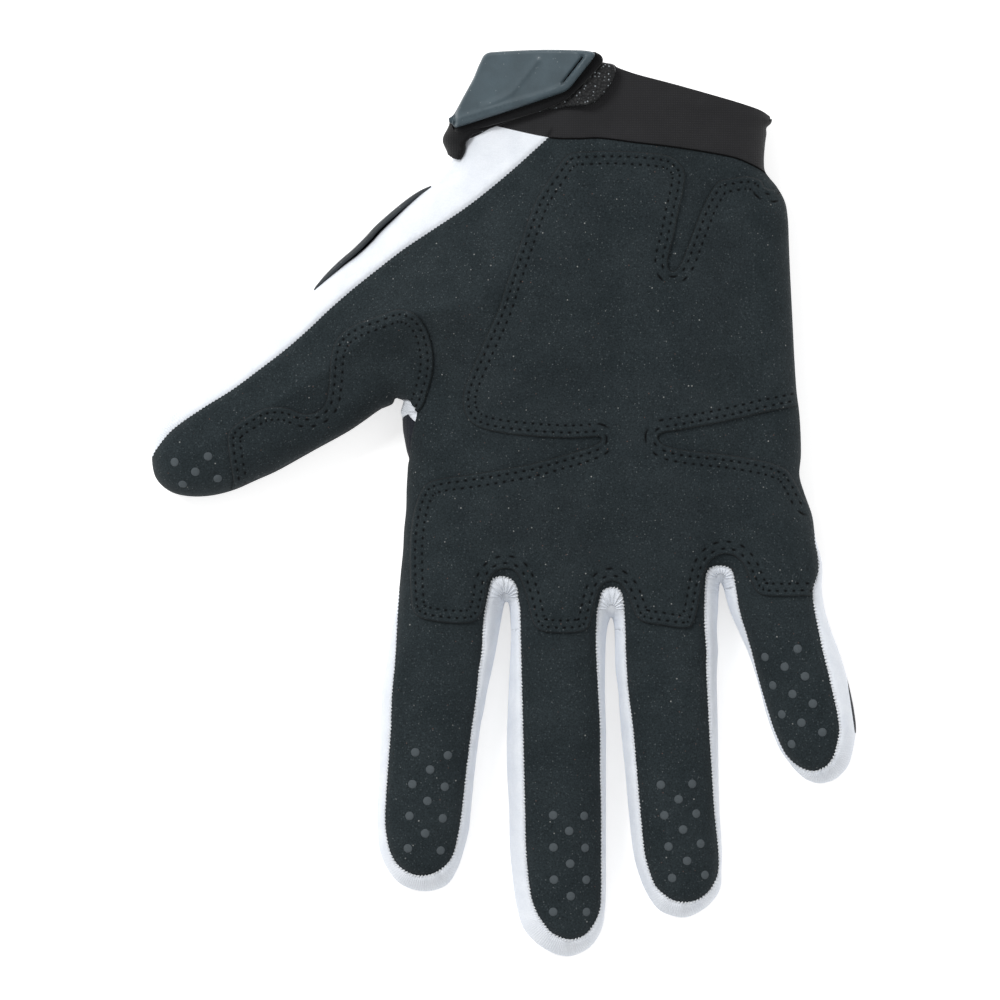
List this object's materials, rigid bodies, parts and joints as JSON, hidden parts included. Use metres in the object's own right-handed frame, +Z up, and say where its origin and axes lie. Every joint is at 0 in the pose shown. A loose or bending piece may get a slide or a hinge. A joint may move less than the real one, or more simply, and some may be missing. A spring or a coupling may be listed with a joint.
{
  "type": "watersports glove",
  "caption": "Short-cuffed watersports glove with suede palm, stretch finger sides and a strap tab, lying palm up.",
  "frame": {"origin": "on the surface that the glove lies on, under the middle of its outline", "axes": "+Y from the finger tips to the cuff, +X from the thumb side to the little finger's side, +Z up out of the palm"},
  "size_m": [0.1674, 0.2164, 0.0323],
  "materials": {
    "suede": "matt napped suede with fine light lint",
    "suede_pad": "matt napped suede, double stitched",
    "white_stretch": "smooth white stretch knit with ribs",
    "back_fabric": "dark woven stretch fabric",
    "cuff_neoprene": "matt laminated neoprene",
    "moulded_rubber": "satin moulded rubber",
    "hook_tape": "dark hook and loop tape",
    "strap_webbing": "dark laminated strap"
  },
  "bodies": {
    "root": {"palm_panel": "suede", "palm_pad": "suede_pad", "thumb_pad": "suede_pad", "side_wall_index": "white_stretch", "side_wall_middle": "white_stretch", "side_wall_ring": "white_stretch", "side_wall_little": "white_stretch", "thumb_gusset": "white_stretch", "back_panel": "back_fabric", "thumb_guard": "moulded_rubber", "cuff_band": "cuff_neoprene", "loop_patch": "hook_tape", "strap": "strap_webbing", "strap_tab": "moulded_rubber"}
  },
  "joints": []
}
